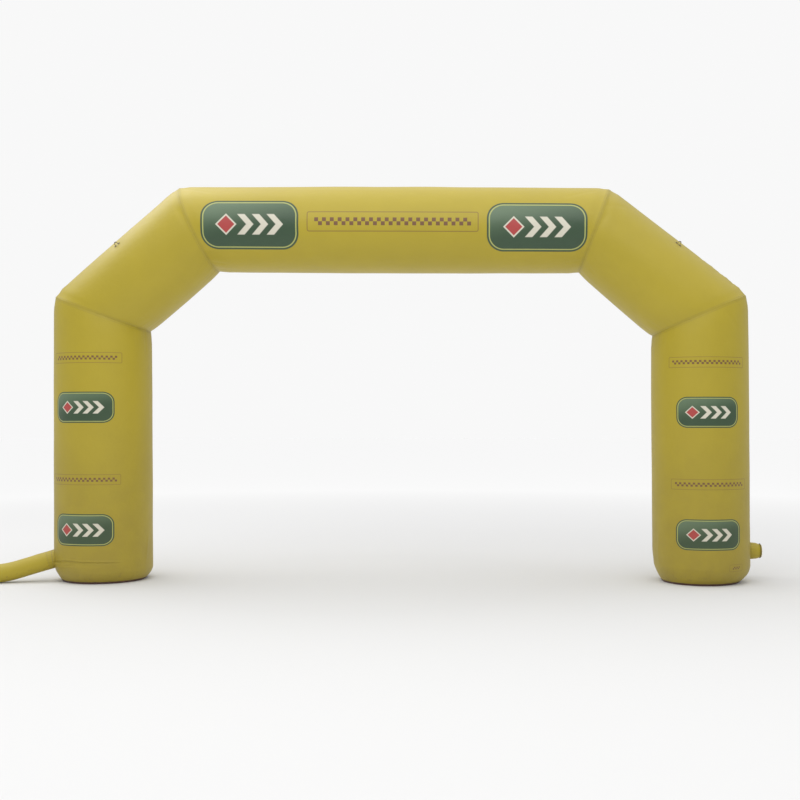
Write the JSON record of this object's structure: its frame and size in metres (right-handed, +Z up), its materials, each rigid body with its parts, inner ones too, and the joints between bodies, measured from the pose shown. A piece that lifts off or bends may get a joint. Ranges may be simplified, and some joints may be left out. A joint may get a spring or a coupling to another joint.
{
  "type": "inflatable arch",
  "caption": "Free-standing air-filled arch of round cloth tubes, with upright legs, sloping shoulders, a level crossbeam, rounded feet, an inflation sleeve and a tied vent.",
  "frame": {"origin": "on the ground, in the middle of the object's whole length and depth, with the inflation sleeve and the vent counted", "axes": "+X along the crossbeam, to the right as seen from the front; +Z up; the front, with the prints and the guy loops, faces -Y"},
  "size_m": [8.084, 0.9736, 3.9878],
  "materials": {
    "yellow_nylon": "coated nylon, soft sheen",
    "dark_base": "heavy coated sheet, matt",
    "tie_cord": "braided cord, matt",
    "brown_webbing": "woven webbing, matt"
  },
  "bodies": {
    "root": {"leg_left": "yellow_nylon", "leg_right": "yellow_nylon", "shoulder_left": "yellow_nylon", "shoulder_right": "yellow_nylon", "crossbeam": "yellow_nylon", "inflation_sleeve": "yellow_nylon", "vent_sleeve": "yellow_nylon", "base_left": "dark_base", "base_right": "dark_base", "vent_tie": "tie_cord", "guy_loop_left": "brown_webbing", "guy_loop_right": "brown_webbing"}
  },
  "joints": []
}
